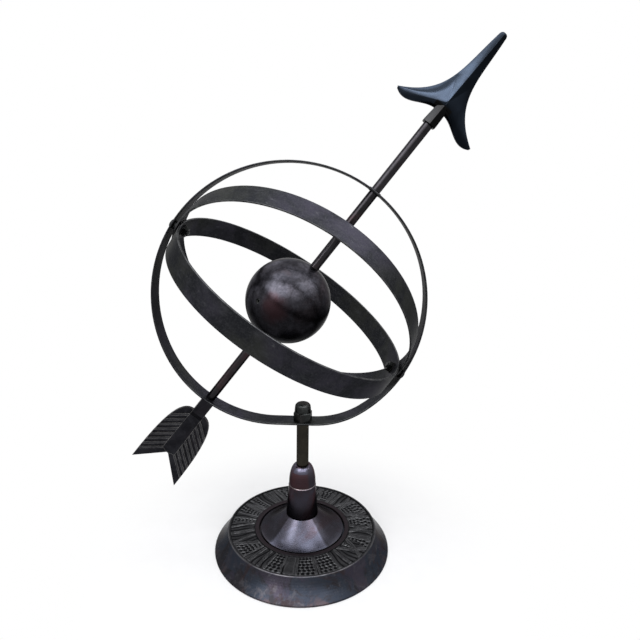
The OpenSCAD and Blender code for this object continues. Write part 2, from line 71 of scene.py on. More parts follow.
# The arrow's slope, where its head starts along it, and how far the head leans from it, as in the CAD
ARROW_RISE, HEAD_PLACE, HEAD_LEAN = 52.4, 187, 1.6
ARROW_FRAME = Matrix.Translation(SPHERE) @ Matrix.Rotation(math.radians(90 - ARROW_RISE), 4, "Y")
HEAD_FRAME = (ARROW_FRAME @ Matrix.Translation((0, 0, HEAD_PLACE * MM))
              @ Matrix.Rotation(math.radians(HEAD_LEAN), 4, "Y"))
# The tops of the feather's ribs, from its middle plane
RIB_TOP = 2.2


class Nodes:
    """A short way to write the nodes of one tree."""

    def __init__(self, tree):
        self.tree = tree
        self.tree.nodes.clear()

    def new(self, kind):
        return self.tree.nodes.new(kind)

    def link(self, source, target):
        self.tree.links.new(source, target)

    def put(self, socket, value):
        """Links the socket to another one, or sets it to a number, a vector or a colour."""
        if isinstance(value, bpy.types.NodeSocket):
            self.link(value, socket)
        elif isinstance(value, tuple) and len(value) == 3 and socket.type == "RGBA":
            socket.default_value = (*value, 1)
        elif value is not None:
            socket.default_value = value

    def math(self, op, a, b=None):
        node = self.new("ShaderNodeMath")
        node.operation = op
        self.put(node.inputs[0], a)
        self.put(node.inputs[1], b)
        return node.outputs[0]

    def add(self, a, b):
        return self.math("ADD", a, b)

    def mul(self, a, b):
        return self.math("MULTIPLY", a, b)

    def seen_rays(self):
        """1 for the rays that show the background: from the camera, and through gloss and glass."""
        path = self.new("ShaderNodeLightPath").outputs
        seen = self.math("MAXIMUM", path["Is Camera Ray"], path["Is Glossy Ray"])
        return self.math("MAXIMUM", seen, path["Is Transmission Ray"])

    def show(self, amount, shader, other, out):
        """Shows one shader, and the other one as far as the amount says."""
        pick = self.new("ShaderNodeMixShader")
        for socket, source in zip(pick.inputs, (amount, shader, other)):
            self.link(source, socket)
        self.link(pick.outputs[0], out.inputs["Surface"])


class Material(Nodes):
    """A material with one Principled shader."""

    def __init__(self, name):
        self.mat = bpy.data.materials.new(name)
        self.mat.use_nodes = True
        super().__init__(self.mat.node_tree)
        self.out = self.new("ShaderNodeOutputMaterial")
        self.shader = self.new("ShaderNodeBsdfPrincipled")
        self.link(self.shader.outputs[0], self.out.inputs["Surface"])
        coordinates = self.new("ShaderNodeTexCoord").outputs
        self.place = coordinates["Object"]
        self.normal = coordinates["Normal"]

    def vec(self, op, a, b=None):
        node = self.new("ShaderNodeVectorMath")
        node.operation = op
        self.put(node.inputs[0], a)
        self.put(node.inputs[1], b)
        return node.outputs["Value"] if op in ("DOT_PRODUCT", "DISTANCE") else node.outputs[0]

    def dot(self, a, b):
        return self.vec("DOT_PRODUCT", a, b)

    def xyz(self):
        node = self.new("ShaderNodeSeparateXYZ")
        self.put(node.inputs[0], self.place)
        return node.outputs

    def join(self, x, y, z):
        node = self.new("ShaderNodeCombineXYZ")
        for socket, value in zip(node.inputs, (x, y, z)):
            self.put(socket, value)
        return node.outputs[0]

    def hypot(self, x, y):
        return self.math("SQRT", self.add(self.mul(x, x), self.mul(y, y)))

    def radius(self):
        """How far a place is from the stem's axis."""
        x, y = self.xyz()[:2]
        return self.hypot(x, y)

    def upward(self):
        """How far a face looks up, from -1 to 1."""
        return self.dot(self.normal, (0, 0, 1))

    def noise(self, scale, place=None, detail=4.0, rough=0.55, distort=0.0, shift=0.0):
        if shift:
            place = self.vec("ADD", place or self.place, (shift, 1.7 * shift, 0.6 * shift))
        node = self.new("ShaderNodeTexNoise")
        self.put(node.inputs["Vector"], place or self.place)
        node.inputs["Scale"].default_value = scale
        node.inputs["Detail"].default_value = detail
        node.inputs["Roughness"].default_value = rough
        node.inputs["Distortion"].default_value = distort
        return node.outputs["Fac"]

    def band(self, value, low, high, to_low=0.0, to_high=1.0):
        """Runs smoothly from to_low to to_high as the value goes from low to high."""
        node = self.new("ShaderNodeMapRange")
        node.interpolation_type = "SMOOTHSTEP"
        for socket, number in zip(node.inputs, (value, low, high, to_low, to_high)):
            self.put(socket, number)
        return node.outputs[0]

    def passing(self, length, size, near, far):
        """Runs from 0 to 1 as a length in metres goes from size + near to size + far, in mm."""
        return self.band(length, (size + near) * MM, (size + far) * MM)

    def mix(self, amount, a, b):
        node = self.new("ShaderNodeMix")
        node.data_type = "RGBA"
        self.put(node.inputs[0], amount)
        self.put(node.inputs[6], a)
        self.put(node.inputs[7], b)
        return node.outputs[2]

    def scaled(self, color, amount):
        return self.vec("MULTIPLY", color, self.join(amount, amount, amount))

    def painted_light_by_facing(self, color, low, high, below, above):
        """Painted light and shade: the colour times below on faces that look up less than low, times above
        from high on.
        """
        return self.scaled(color, self.band(self.upward(), low, high, below, above))

    def edges(self, radius):
        """1 along the sharp edges of the piece, 0 on its faces."""
        bevel = self.new("ShaderNodeBevel")
        bevel.samples = 6
        bevel.inputs["Radius"].default_value = radius
        normal = self.new("ShaderNodeNewGeometry").outputs["Normal"]
        return self.band(self.math("SUBTRACT", 1.0, self.dot(bevel.outputs[0], normal)), 0.02, 0.25)

    def metal(self, color, rough, height, relief):
        """Blackened metal: its colour is how much it reflects, and its tint keeps glancing faces dark."""
        bump = self.new("ShaderNodeBump")
        bump.inputs["Distance"].default_value = relief
        self.put(bump.inputs["Height"], height)
        sockets = self.shader.inputs
        self.put(sockets["Base Color"], color)
        self.put(sockets["Roughness"], rough)
        self.put(sockets["Normal"], bump.outputs[0])
        sockets["Metallic"].default_value = 1.0
        sockets["Specular Tint"].default_value = (0.5, 0.5, 0.5, 1)
        return self.mat


# The camera, from the fit to the photograph
CAMERA_PLACE = (27.08, -445.71, 321.6)
YAW, PITCH, ROLL = -2.25, 9.27, 0.63
FOCAL_PX, CENTRE_X_PX, CENTRE_Y_PX, IMAGE_PX = 521.37, 314.86, 282.16, 640
SENSOR_W, CLIP_START = 36, 10


def set_camera():
    """Places the camera by its turn, its slope and its roll, and shifts its picture to the fitted centre."""
    yaw, pitch, roll = (math.radians(angle) for angle in (YAW, PITCH, ROLL))
    ahead = Vector((math.sin(yaw) * math.cos(pitch), math.cos(yaw) * math.cos(pitch), -math.sin(pitch)))
    level = Vector((math.cos(yaw), -math.sin(yaw), 0))
    above = level.cross(ahead)
    right = level * math.cos(roll) + above * math.sin(roll)
    up = above * math.cos(roll) - level * math.sin(roll)
    cam = bpy.data.cameras.new("camera")
    cam.sensor_width = SENSOR_W
    cam.sensor_fit = "HORIZONTAL"
    cam.lens = SENSOR_W * FOCAL_PX / IMAGE_PX
    cam.shift_x = (IMAGE_PX / 2 - CENTRE_X_PX) / IMAGE_PX
    cam.shift_y = (CENTRE_Y_PX - IMAGE_PX / 2) / IMAGE_PX
    cam.clip_start = CLIP_START * MM
    holder = bpy.data.objects.new("camera", cam)
    bpy.context.scene.collection.objects.link(holder)
    turn = Matrix((right, up, -ahead)).transposed().to_4x4()
    holder.matrix_world = Matrix.Translation(Vector(CAMERA_PLACE) * MM) @ turn
    bpy.context.scene.camera = holder


# The lamps are soft panels that stand at one distance from the object and face it. Each has its azimuth, from
# the camera's side round to its right, its elevation, and half its width and half its height as angles seen
# from the object, then its radiance and its colour.
LAMP_AIM = Vector((0, 0, 220)) * MM
LAMP_REACH = 1600 * MM
LAMPS = {
    "window": (-36, 35, 12, 18, 4.6, (1.0, 0.99, 1.0)),
    "window_middle": (-8, 34, 13, 15, 2.9, (0.98, 0.97, 1.0)),
    "window_right": (20, 36, 14, 14, 3.0, (0.98, 0.97, 1.0)),
    "window_left": (-60, 35, 10, 16, 1.7, (0.95, 0.98, 1.0)),
    "high_window": (-54, 58, 12, 8, 4.2, (0.94, 0.97, 1.0)),
    "ceiling": (0, 90, 30, 20, 1.6, (0.96, 0.97, 1.0)),
    "right_fill": (50, 42, 16, 16, 2.6, (0.96, 0.98, 1.0)),
    "side_right": (90, 40, 14, 14, 2.4, (0.98, 0.98, 1.0)),
    "back_left": (-150, 38, 11, 9, 1.8, (1.0, 1.0, 1.0)),
    "back_right": (150, 42, 11, 9, 1.8, (1.0, 1.0, 1.0)),
}


def set_lamp(name, azimuth, elevation, half_wide, half_high, radiance, color):
    az, el = math.radians(azimuth), math.radians(elevation)
    away = Vector((math.sin(az) * math.cos(el), -math.cos(az) * math.cos(el), math.sin(el)))
    light = bpy.data.lights.new(name, "AREA")
    light.shape = "RECTANGLE"
    light.size = 2 * LAMP_REACH * math.tan(math.radians(half_wide))
    light.size_y = 2 * LAMP_REACH * math.tan(math.radians(half_high))
    light.energy = radiance * math.pi * light.size * light.size_y
    light.color = color
    holder = bpy.data.objects.new(name, light)
    holder.location = LAMP_AIM + away * LAMP_REACH
    holder.rotation_euler = (-away).to_track_quat("-Z", "Y").to_euler()
    holder.visible_camera = False
    bpy.context.scene.collection.objects.link(holder)


def background(w, color, strength):
    node = w.new("ShaderNodeBackground")
    w.put(node.inputs["Color"], color)
    w.put(node.inputs["Strength"], strength)
    return node.outputs[0]


def set_world():
    """Faint cool light from all round, and plain white where the background is seen."""
    world = bpy.data.worlds.new("studio")
    bpy.context.scene.world = world
    world.use_nodes = True
    w = Nodes(world.node_tree)
    out = w.new("ShaderNodeOutputWorld")
    w.show(w.seen_rays(), background(w, (0.90, 0.93, 1.0), 0.04), background(w, (1, 1, 1), 1.0), out)


# The floor: a round sheet just under the object, and the distances from the stem where it starts to turn
# white and where it is white
SHEET_R, SHEET_Z = 4000, -0.2
WHITE_FROM, WHITE_BY = 85, 210


def floor_material():
    """Pale paper that turns into the white background away from the object."""
    m = Material("floor_paper")
    pale = m.mix(m.band(m.noise(60), 0.3, 0.7), (0.86, 0.86, 0.86), (0.88, 0.88, 0.88))
    m.put(m.shader.inputs["Base Color"], pale)
    m.shader.inputs["Roughness"].default_value = 0.9
    m.shader.inputs["Specular IOR Level"].default_value = 0.2
    white = m.new("ShaderNodeEmission")
    m.put(white.inputs["Color"], (1, 1, 1))
    far = m.mul(m.band(m.radius(), WHITE_FROM * MM, WHITE_BY * MM, 0.4, 1.0), m.seen_rays())
    m.show(far, m.shader.outputs[0], white.outputs[0], m.out)
    return m.mat


def set_floor():
    bm = bmesh.new()
    bmesh.ops.create_circle(bm, cap_ends=True, radius=SHEET_R * MM, segments=96)
    mesh = bpy.data.meshes.new("floor")
    bm.to_mesh(mesh)
    mesh.materials.append(floor_material())
    floor = bpy.data.objects.new("floor", mesh)
    floor.location.z = SHEET_Z * MM
    bpy.context.scene.collection.objects.link(floor)


def set_stage():
    bpy.context.scene.view_settings.view_transform = "Standard"
    set_world()
    set_floor()
    for name, panel in LAMPS.items():
        set_lamp(name, *panel)


# The cast base
def skirt_color(m, z):
    """The sloping skirt: patches of blue, violet and brown, pale smears, and a rusty foot."""
    blue = m.noise(34, detail=6, rough=0.70, distort=0.9)
    brown = m.noise(26, detail=6, rough=0.70, distort=1.2, shift=2.2)
    violet = m.noise(28, detail=6, rough=0.68, distort=0.8, shift=9.4)
    smears = m.noise(120, detail=6, rough=0.80, distort=0.7, shift=5.0)
    rust = m.noise(48, detail=5, rough=0.68, distort=0.6, shift=1.3)
    color = m.mix(m.band(blue, 0.46, 0.54), (0.0190, 0.0182, 0.0212), (0.0210, 0.0250, 0.0340))
    color = m.mix(m.band(violet, 0.50, 0.58, 0, 0.85), color, (0.0310, 0.0275, 0.0385))
    color = m.mix(m.band(brown, 0.53, 0.60, 0, 0.85), color, (0.0240, 0.0180, 0.0195))
    color = m.mix(m.band(smears, 0.52, 0.64, 0, 0.75), color, (0.0490, 0.0480, 0.0545))
    low = m.band(z, 7 * MM, 1 * MM, 0.2, 1.0)
    return m.mix(m.mul(m.band(rust, 0.50, 0.60, 0, 0.8), low), color, (0.0500, 0.0370, 0.0400))


def turned_lines(m, along):
    """Fine rings left by the lathe, from a length that grows along the profile."""
    x, y = m.xyz()[:2]
    drift = m.mul(m.math("ARCTAN2", y, x), 4 * MM)
    return m.noise(420, m.join(0.0, drift, along), detail=3)


def base_material():
    """The casting: clouded skirt, a painted highlight round the lip, matt grey band, and a brown ring inside
    the band.
    """
    m = Material("base_patina")
    z = m.xyz()[2]
    r = m.radius()
    top = m.mul(m.passing(r, RIM_R, 0.2, -0.1), m.passing(z, WELL_FLOOR_Z, 0, 0.5))
    fine = m.noise(1100, detail=3)
    speck = m.noise(260, rough=0.7, shift=4.0)
    lines = turned_lines(m, m.add(r, z))
    inside = m.mix(m.band(speck, 0.35, 0.68), (0.0170, 0.0175, 0.0190), (0.0330, 0.0335, 0.0360))
    inside = m.mix(m.passing(r, BAND_INNER_R, 0.2, -0.2), inside, (0.0250, 0.0205, 0.0235))
    color = m.mix(top, skirt_color(m, z), inside)
    color = m.mix(m.band(lines, 0.52, 0.74, 0, 0.2), color, (0.060, 0.060, 0.070))
    # A painted highlight round the lip, broken up in patches
    lip_highlight = m.mul(m.passing(r, RIM_R, -0.7, -0.2), m.passing(z, RIM_Z, -0.9, -0.4))
    rub = m.band(m.noise(75, shift=6.0), 0.36, 0.62, 0.3, 1.0)
    color = m.mix(m.mul(lip_highlight, m.mul(rub, 0.7)), color, (0.100, 0.098, 0.104))
    worn = m.mul(m.edges(0.6 * MM), m.band(m.noise(90, detail=3), 0.36, 0.62, 0.2, 0.7))
    color = m.mix(worn, color, (0.085, 0.082, 0.085))
    rough = m.add(m.add(0.21, m.mul(speck, 0.10)), m.mul(top, 0.22))
    height = m.add(m.mul(lines, 0.4), m.mul(fine, m.add(0.1, top)))
    return m.metal(color, rough, height, 0.05 * MM)


# The straps of the hoop and the rings
def ring_axes(tilt):
    """The unit vectors of a ring's own frame: along the pivots, across in its plane, and its axis."""
    turn = math.radians(tilt)
    back = Vector((0, 1, 0))
    axis = PIVOT_LINE.cross(back) * math.cos(turn) + back * math.sin(turn)
    return PIVOT_LINE, axis.cross(PIVOT_LINE), axis


def strap_material(name, axes, width, rubbed=0.8, below=0.95, above=1.4):
    """Dark grey strap with faint marks that run along it, rubbed lighter along its edges where a highlight is
    painted too, and painted light and shade: lighter where it looks up, darker where it looks down.
    """
    m = Material(name)
    reach = m.vec("SUBTRACT", m.place, tuple(SPHERE))
    x, y, across = (m.dot(reach, tuple(axis)) for axis in axes)
    out = m.hypot(x, y)
    around = m.mul(m.math("ARCTAN2", y, x), STRAP_R * MM)
    clouds = m.noise(30, detail=5, rough=0.62, distort=0.5)
    tint = m.noise(14, detail=3, rough=0.5, shift=6.0)
    marks = m.noise(300, m.join(m.mul(around, 0.3), out, across), rough=0.7)
    slanting = m.add(m.mul(around, 0.6), m.mul(across, 0.6))
    drifting = m.math("SUBTRACT", across, m.mul(around, 0.08))
    scuffs = m.noise(170, m.join(slanting, out, drifting), detail=6, rough=0.8)
    fine = m.noise(700, rough=0.8)
    pale = m.mix(m.band(tint, 0.42, 0.58), (0.0240, 0.0252, 0.0235), (0.0262, 0.0250, 0.0335))
    color = m.mix(m.band(clouds, 0.38, 0.64), (0.0130, 0.0137, 0.0160), pale)
    color = m.mix(m.band(marks, 0.50, 0.72, 0, 0.45), color, (0.040, 0.041, 0.046))
    color = m.mix(m.band(fine, 0.46, 0.66, 0, 0.4), color, (0.042, 0.043, 0.047))
    color = m.mix(m.band(scuffs, 0.60, 0.70, 0, 0.6), color, (0.080, 0.082, 0.087))
    # The edges are rubbed lighter, and the same line stands as a painted highlight on their rounding
    rim = m.passing(m.math("ABSOLUTE", across), width / 2, -0.55, -0.15)
    rub = m.band(m.noise(120, shift=2.0), 0.34, 0.62, 0.25, 1.0)
    color = m.mix(m.mul(rim, m.mul(rub, rubbed)), color, (0.085, 0.086, 0.088))
    # Painted light and shade: lighter where the strap looks up, darker where it looks down
    color = m.painted_light_by_facing(color, 0.0, 0.75, below, above)
    rough = m.add(0.34, m.mul(marks, 0.2))
    return m.metal(color, rough, m.add(marks, m.mul(fine, 0.5)), 0.05 * MM)


def hoop_material():
    upright = (Vector((1, 0, 0)), Vector((0, 0, 1)), Vector((0, 1, 0)))
    return strap_material("hoop_strap", upright, HOOP_W, rubbed=0.4, below=0.55, above=1.8)


def ecliptic_material():
    return strap_material("ecliptic_strap", ring_axes(ECLIPTIC_TILT), ECLIPTIC_W)


def equatorial_material():
    return strap_material("equatorial_strap", ring_axes(EQUATORIAL_TILT), EQUATORIAL_W)


# The other pieces share one way to build a patina
def patina(name, dark, pale, warm, rough, cloud, painted_light, wear=0.10, wear_r=0.6, wear_most=0.6, grain=0.012,
           marks=None):
    """Clouds of a dark and a pale tone, patches of a warm one, fine grain, rubbed edges, and painted light
    and shade.

    Cloud is the scale of the clouds, the numbers after it paint tops lighter and undersides darker as light
    and shade, and marks adds what only this piece has. Along the edges, wear is the rubbed tone, wear_r its
    reach and wear_most its most.
    """
    m = Material(name)
    clouds = m.noise(cloud, detail=5, rough=0.62, distort=0.7)
    patches = m.noise(cloud * 0.55, distort=1.0, shift=3.1)
    fine = m.noise(900, detail=3, rough=0.6)
    smears = m.noise(cloud * 2.6, detail=5, rough=0.7, distort=0.4, shift=7.7)
    color = m.mix(m.band(clouds, 0.36, 0.66), dark, pale)
    color = m.mix(m.band(patches, 0.48, 0.66, 0, 0.85), color, warm)
    color = m.mix(m.band(smears, 0.52, 0.74, 0, 0.5), color, tuple(1.5 * c for c in pale))
    color = m.mix(m.band(fine, 0.45, 0.80, 0, 0.12), color, tuple(1.8 * c for c in pale))
    if marks:
        color = marks(m, color)
    # Tops are painted lighter and undersides darker, as light and shade
    color = m.painted_light_by_facing(color, *painted_light)
    worn = m.mul(m.edges(wear_r * MM), m.band(m.noise(180, detail=3), 0.3, 0.62, 0.2, wear_most))
    color = m.mix(worn, color, (wear, wear * 0.97, wear * 0.96))
    shine = m.add(rough - 0.06, m.mul(smears, 0.12))
    return m.metal(color, shine, m.add(m.mul(fine, 0.5), smears), grain * MM)


def facing_out(m, side):
    """How far a place on a turned piece of the stem lies to one side, from -1 to 1."""
    return m.dot(m.vec("NORMALIZE", m.vec("MULTIPLY", m.place, (1, 1, 0))), side)


def dome_painted_highlight(m, color):
    """The dome is painted with a highlight on the side that faces out, and a little darker on the rest."""
    ragged = m.add(facing_out(m, (-0.05, -1, 0)), m.mul(m.noise(60, shift=4.4), 0.12))
    # The painted highlight: about three times the colour, a little bluer, on the front
    rubbed = m.vec("MULTIPLY", color, (2.85, 2.95, 3.15))
    return m.mix(m.band(ragged, 0.76, 0.83), m.scaled(color, 0.9), rubbed)


def dome_material():
    return patina("dome_patina", dark=(0.0270, 0.0255, 0.0310), pale=(0.0390, 0.0390, 0.0500),
                  warm=(0.0320, 0.0240, 0.0280), rough=0.27, cloud=40, painted_light=(0.2, 0.5, 0.8, 1.0),
                  grain=0.006, marks=dome_painted_highlight)


def collar_marks_and_highlight(m, color):
    """A painted blue highlight on the ferrule's shoulder, red-brown below, and a bright line where the
    collars meet.
    """
    z = m.xyz()[2]
    up = m.upward()
    ragged = m.add(facing_out(m, (-0.15, -1, 0)), m.mul(m.noise(80, shift=2.5), 0.2))
    ferrule = m.mul(m.band(ragged, 0.80, 0.98), m.passing(z, SEAM_Z, 0, 1))
    color = m.mix(m.mul(m.mul(ferrule, m.band(up, 0.36, 0.26)), 0.75), color, (0.0370, 0.0185, 0.0210))
    # The painted highlight: a pale blue band round the front of the shoulder
    shoulder = m.mul(m.band(up, 0.28, 0.38), m.band(up, 0.80, 0.62))
    color = m.mix(m.mul(m.mul(ferrule, shoulder), 0.9), color, (0.0450, 0.0450, 0.0620))
    gap = m.math("ABSOLUTE", m.math("SUBTRACT", z, SEAM_Z * MM))
    rub = m.band(m.noise(110, detail=3, shift=9.0), 0.3, 0.55, 0.5, 1.0)
    return m.mix(m.mul(m.band(gap, 0.4 * MM, 0.1 * MM), rub), color, (0.095, 0.082, 0.082))


def collar_material():
    return patina("collar_patina", dark=(0.0215, 0.0190, 0.0235), pale=(0.0300, 0.0280, 0.0370),
                  warm=(0.0330, 0.0155, 0.0175), rough=0.19, cloud=44, painted_light=(0.1, 0.42, 1.0, 2.1),
                  wear=0.07, marks=collar_marks_and_highlight)


def post_material():
    return patina("post_patina", dark=(0.0170, 0.0155, 0.0135), pale=(0.0270, 0.0240, 0.0190),
                  warm=(0.0290, 0.0220, 0.0160), rough=0.26, cloud=46, painted_light=(0.0, 0.5, 1.0, 1.6))


def rod_material():
    return patina("rod_patina", dark=(0.0150, 0.0140, 0.0155), pale=(0.0235, 0.0225, 0.0250),
                  warm=(0.0320, 0.0200, 0.0220), rough=0.24, cloud=46, painted_light=(0.0, 0.5, 1.0, 1.6))


def hardware_material():
    return patina("hardware_patina", dark=(0.0160, 0.0170, 0.0170), pale=(0.034, 0.036, 0.036),
                  warm=(0.026, 0.023, 0.023), rough=0.34, cloud=90, painted_light=(-0.1, 0.5, 0.8, 1.3),
                  wear=0.15, wear_r=0.5, wear_most=0.9, grain=0.03)


def rib_marks(m, color):
    """The tops of the feather's ribs are rubbed pale."""
    out = m.math("ABSOLUTE", m.xyz()[1])
    top = m.mul(m.passing(out, RIB_TOP, -0.45, -0.15), m.passing(out, RIB_TOP, 0.3, 0.15))
    rub = m.band(m.noise(220, detail=3, shift=6.5), 0.32, 0.60, 0.35, 1.0)
    return m.mix(m.mul(top, rub), color, (0.0350, 0.0350, 0.0380))


def fletching_material():
    return patina("fletching_patina", dark=(0.0090, 0.0090, 0.0110), pale=(0.0180, 0.0180, 0.0215),
                  warm=(0.0135, 0.0125, 0.0150), rough=0.36, cloud=90, painted_light=(-0.5, 0.3, 0.6, 1.2),
                  wear=0.22, wear_r=0.8, wear_most=1.0, grain=0.03, marks=rib_marks)


def globe_marks(m, color):
    """Fine mottling, and a red-brown patch rubbed thin on the side that faces out."""
    mottle = m.noise(190, detail=5, rough=0.75, distort=0.4, shift=11.0)
    color = m.scaled(color, m.band(mottle, 0.36, 0.66, 0.72, 1.4))
    gap = m.vec("DISTANCE", m.place, tuple(SPHERE + Vector((-8, -36, -1)) * MM))
    ragged = m.add(gap, m.mul(m.noise(70, shift=8.0), 14 * MM))
    return m.mix(m.mul(m.band(ragged, 23 * MM, 13 * MM), 0.8), color, (0.082, 0.042, 0.049))


# Painted shade: the ball's undersides go down to a fifth of its colour
def globe_material():
    return patina("globe_patina", dark=(0.0380, 0.0365, 0.0430), pale=(0.0520, 0.0510, 0.0620),
                  warm=(0.0420, 0.0350, 0.0400), rough=0.30, cloud=55, painted_light=(-0.2, 0.5, 0.2, 1.0),
                  marks=globe_marks)


def head_shade_and_socket(m, color):
    """The arrowhead is painted darker, as shade, on the side below its ridge, and its socket is dull grey."""
    reach = m.vec("SUBTRACT", m.place, tuple(HEAD_FRAME.translation))
    side = m.dot(reach, tuple(HEAD_FRAME.to_3x3() @ Vector((-1, 0, 0))))
    along = m.dot(reach, tuple(HEAD_FRAME.to_3x3() @ Vector((0, 0, 1))))
    # Painted shade: half the colour on the side below the ridge
    ragged = m.add(side, m.mul(m.noise(90, shift=5.0), 3 * MM))
    color = m.scaled(color, m.band(ragged, 0.0, 3.5 * MM, 0.5, 1.0))
    near = m.band(m.math("ABSOLUTE", side), 8.5 * MM, 7.5 * MM)
    return m.mix(m.mul(near, m.band(along, 19.5 * MM, 18 * MM)), color, (0.0165, 0.0165, 0.0170))


def head_material():
    return patina("head_patina", dark=(0.0250, 0.0315, 0.0430), pale=(0.0370, 0.0490, 0.0700),
                  warm=(0.0290, 0.0350, 0.0480), rough=0.19, cloud=22, painted_light=(-0.25, 0.35, 0.30, 1.1),
                  wear=0.02, wear_r=0.5, grain=0.0, marks=head_shade_and_socket)


def give(mat, *nodes):
    """Gives the material to CAD nodes."""
    for node in nodes:
        mesh = frame["nodes"][node].data
        mesh.materials.clear()
        mesh.materials.append(mat)
        for face in mesh.polygons:
            face.material_index = 0


def dress_nodes():
    """Gives every CAD node its material."""
    give(base_material(), "base_casting")
    give(dome_material(), "centre_dome")
    give(collar_material(), "lower_collar", "upper_collar")
    give(post_material(), "post")
    give(hoop_material(), "meridian_hoop")
    give(ecliptic_material(), "ecliptic_ring")
    give(equatorial_material(), "equatorial_ring")
    give(rod_material(), "arrow_rod")
    give(head_material(), "arrow_head")
    give(fletching_material(), "arrow_fletching")
    give(globe_material(), "globe")
    give(hardware_material(), "base_washer", "base_nut", "cap_nut", "pivot_screws", "pivot_spacers",
         "ring_washers", "nut_washers", "pivot_nuts", "globe_grub_screw")


# Pieces lofted through rings of points. The count of points suits a round ring and a six-sided one, and
# edges that turn by SHARP_FROM or more stay sharp.
RING_POINTS = 48
SHARP_FROM = 38


def round_ring(radius, z, turn=0.0):
    """A ring of points in mm round the z axis."""
    angles = [2 * math.pi * i / RING_POINTS + math.radians(turn) for i in range(RING_POINTS)]
    return [(radius * math.cos(a), radius * math.sin(a), z) for a in angles]


def six_sided_ring(flat, z, turn, corner=1.125):
    """The same for six flats, one of them at the turn. The corners are eased at corner times the flats."""
    ring = []
    for x, y, z in round_ring(1, z):
        off = (math.atan2(y, x) + math.pi / 6) % (math.pi / 3) - math.pi / 6
        radius = min(flat / math.cos(off), flat * corner)
        angle = math.atan2(y, x) + math.radians(turn)
        ring.append((radius * math.cos(angle), radius * math.sin(angle), z))
    return ring


def loft(bm, rings):
    """Walls from each ring to the next, and a lid on the first and the last."""
    loops = [[bm.verts.new(Vector(point) * MM) for point in ring] for ring in rings]
    for a, b in zip(loops, loops[1:]):
        for j in range(len(a)):
            k = (j + 1) % len(a)
            bm.faces.new((a[j], a[k], b[k], b[j]))
    bm.faces.new(loops[0])
    bm.faces.new(loops[-1])


def stand_in(name, bm, node, body):
    """Turns the mesh into a piece that takes the place of a CAD node and has its material."""
    bmesh.ops.recalc_face_normals(bm, faces=bm.faces)
    mesh = bpy.data.meshes.new(name)
    bm.to_mesh(mesh)
    mesh.shade_smooth()
    mesh.set_sharp_from_angle(angle=math.radians(SHARP_FROM))
    mesh.materials.append(frame["nodes"][node].data.materials[0])
    piece = bpy.data.objects.new(name, mesh)
    bpy.context.scene.collection.objects.link(piece)
    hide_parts(node)
    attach(piece, body)


# The arrowhead in its own frame: across, through and along it, in mm from the socket's mouth
HEAD_LEN, BARB_HALF, HEAD_HALF_T = 91.2, 39.5, 7.0
TIP_R, TIP_ANGLE = 0.038 * HEAD_LEN, 16
OUTER_EDGE = [(TIP_R, HEAD_LEN - TIP_R), (0.215 * BARB_HALF, 0.56 * HEAD_LEN),
              (0.085 * BARB_HALF, 0.296 * HEAD_LEN), (BARB_HALF, 0.083 * HEAD_LEN)]
BARB_CREST = [(0, 0.241 * HEAD_LEN), (0.234 * BARB_HALF, 0.193 * HEAD_LEN),
              (0.571 * BARB_HALF, 0.137 * HEAD_LEN), (0.99 * BARB_HALF, 0.080 * HEAD_LEN)]
INNER_EDGE = [(-0.02 * BARB_HALF, 0.14 * HEAD_LEN), (0.36 * BARB_HALF, 0.19 * HEAD_LEN),
              (0.62 * BARB_HALF, -0.03 * HEAD_LEN), (0.982 * BARB_HALF, 0.066 * HEAD_LEN)]
# How far down the outer edge the fork is, and how far the two halves pass each other, as shares
FORK_SHARE, OVERLAP = 0.435, 0.3
# The crest's height under the tip and at the fork, and its drop along a barb, as shares of the half thickness
TIP_CREST, FORK_CREST, BARB_DROP = 0.44, 0.92, 0.79
# The most that the outer edge's half thickness comes to, and the most as a share of the crest's height, then
# the inner edge's share along the blade
EDGE_HALF_T, EDGE_SHARE, FOOT_SHARE = 0.9, 0.6, 0.4
# The stations of one half, and the points of a station on the way up to its crest and back from it
STATIONS, SLOPE_POINTS, BACK_POINTS = 110, 15, 9
# Where the round tip ends, as a share of the way to the fork
TIP_END = 0.12
# The socket: half its width, where it ends along the head, the turn of its flats, and its bore
SOCKET_HALF_W, SOCKET_END, SOCKET_TURN, SOCKET_BORE_R, SOCKET_BORE_DEPTH = 6, 18.26, -60, 4.2, 11
# The bevel of its mouth, where its taper starts, and its corners at its end as a share of HEAD_HALF_T
SOCKET_BEVEL, SOCKET_TAPER, SOCKET_END_CORNER = 0.5, 3, 0.84


def bezier(ends, t):
    """A point of the curve from the first point to the last, drawn out by the two between them."""
    a, b, c, d = (np.array(point, dtype=float) for point in ends)
    return (1 - t) ** 3 * a + 3 * t * (1 - t) ** 2 * b + 3 * t * t * (1 - t) * c + t ** 3 * d


def tip_station(share):
    """The round tip, from its point to where the long edges start."""
    angle = math.radians(TIP_ANGLE + (90 - TIP_ANGLE) * share)
    outer = np.array([TIP_R * math.sin(angle), HEAD_LEN - TIP_R + TIP_R * math.cos(angle)])
    crest = np.array([0, outer[1]])
    return outer, crest, crest - [outer[0] * OVERLAP, 0], TIP_CREST * math.sin(angle), 0


def ridge_station(share):
    """The blade, from under the tip to the fork, where its ridge is highest."""
    outer = bezier(OUTER_EDGE, FORK_SHARE * share)
    crest = np.array([0, (HEAD_LEN - TIP_R) * (1 - share) + BARB_CREST[0][1] * share])
    height = TIP_CREST + (FORK_CREST - TIP_CREST) * math.sin(math.pi / 2 * share)
    return outer, crest, crest - [outer[0] * OVERLAP, 0], height, 0


def barb_station(share):
    """A barb, from the fork to its end, with a crest that grows round and low."""
    outer = bezier(OUTER_EDGE, FORK_SHARE + (1 - FORK_SHARE) * share)
    height = FORK_CREST - BARB_DROP * share ** 1.1
    return outer, bezier(BARB_CREST, share), bezier(INNER_EDGE, share), height, min(1, 3 * share)


